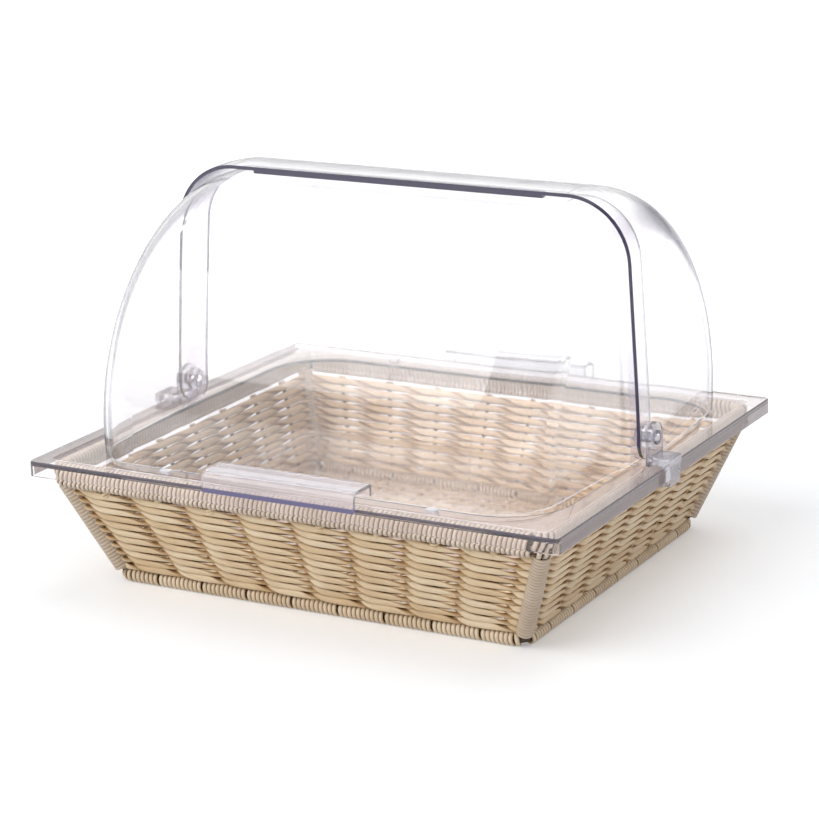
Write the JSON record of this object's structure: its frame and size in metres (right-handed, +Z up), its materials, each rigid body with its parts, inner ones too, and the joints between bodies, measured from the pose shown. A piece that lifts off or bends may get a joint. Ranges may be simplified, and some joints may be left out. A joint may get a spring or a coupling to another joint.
{
  "type": "countertop bread display bin",
  "caption": "Countertop bread bin: a flared woven basket holds a clear hanging tray under two clear quarter-round covers that roll about one axis, each with a finger grip.",
  "frame": {"origin": "middle of the base, where it stands", "axes": "+Z up, +X to the right along the pivot axis, front towards -Y"},
  "size_m": [0.4086, 0.365, 0.274],
  "materials": {
    "strand": "pale woven strand, low sheen",
    "steel_wire": "dark lacquered wire",
    "clear_tray": "clear moulded sheet",
    "clear_cover": "clear moulded shell, darker at cut edges",
    "clear_fitting": "clear moulded, thicker"
  },
  "bodies": {
    "basket": {"base_ring": "steel_wire", "rim_ring": "steel_wire", "lower_rim_ring": "steel_wire", "corner_post_front_left": "steel_wire", "corner_post_front_right": "steel_wire", "corner_post_rear_right": "steel_wire", "corner_post_rear_left": "steel_wire", "post_wrap_front_left": "strand", "post_wrap_front_right": "strand", "post_wrap_rear_right": "strand", "post_wrap_rear_left": "strand", "wall_front": "strand", "wall_right": "strand", "wall_rear": "strand", "wall_left": "strand", "stakes_front": "steel_wire", "stakes_right": "steel_wire", "stakes_rear": "steel_wire", "stakes_left": "steel_wire", "rim_wrap_front": "strand", "rim_wrap_right": "strand", "rim_wrap_rear": "strand", "rim_wrap_left": "strand", "base_wrap_front": "strand", "base_wrap_right": "strand", "base_wrap_rear": "strand", "base_wrap_left": "strand", "basket_floor": "strand", "floor_wires": "steel_wire"},
    "tray": {"tray": "clear_tray", "hinge_bracket_left": "clear_fitting", "hinge_bracket_right": "clear_fitting", "hinge_pin_left": "clear_fitting", "hinge_pin_right": "clear_fitting", "rest_pad_front_left": "clear_fitting", "rest_pad_front_right": "clear_fitting", "rest_pad_rear_right": "clear_fitting", "rest_pad_rear_left": "clear_fitting"},
    "front_cover": {"front_cover": "clear_cover", "front_grip": "clear_fitting"},
    "rear_cover": {"rear_cover": "clear_cover", "rear_grip": "clear_fitting"}
  },
  "joints": [
    {"name": "tray_lift", "type": "slide", "parent": "basket", "child": "tray", "axis": [0, 0, 1], "range_m": [0, 0.06]},
    {"name": "front_cover_hinge", "type": "hinge", "parent": "tray", "child": "front_cover", "pos_m": [0, 0, 0.109], "axis": [-1, 0, 0], "range_deg": [0, 42]},
    {"name": "rear_cover_hinge", "type": "hinge", "parent": "tray", "child": "rear_cover", "pos_m": [0, 0, 0.109], "axis": [-1, 0, 0], "range_deg": [-42, 0]}
  ]
}
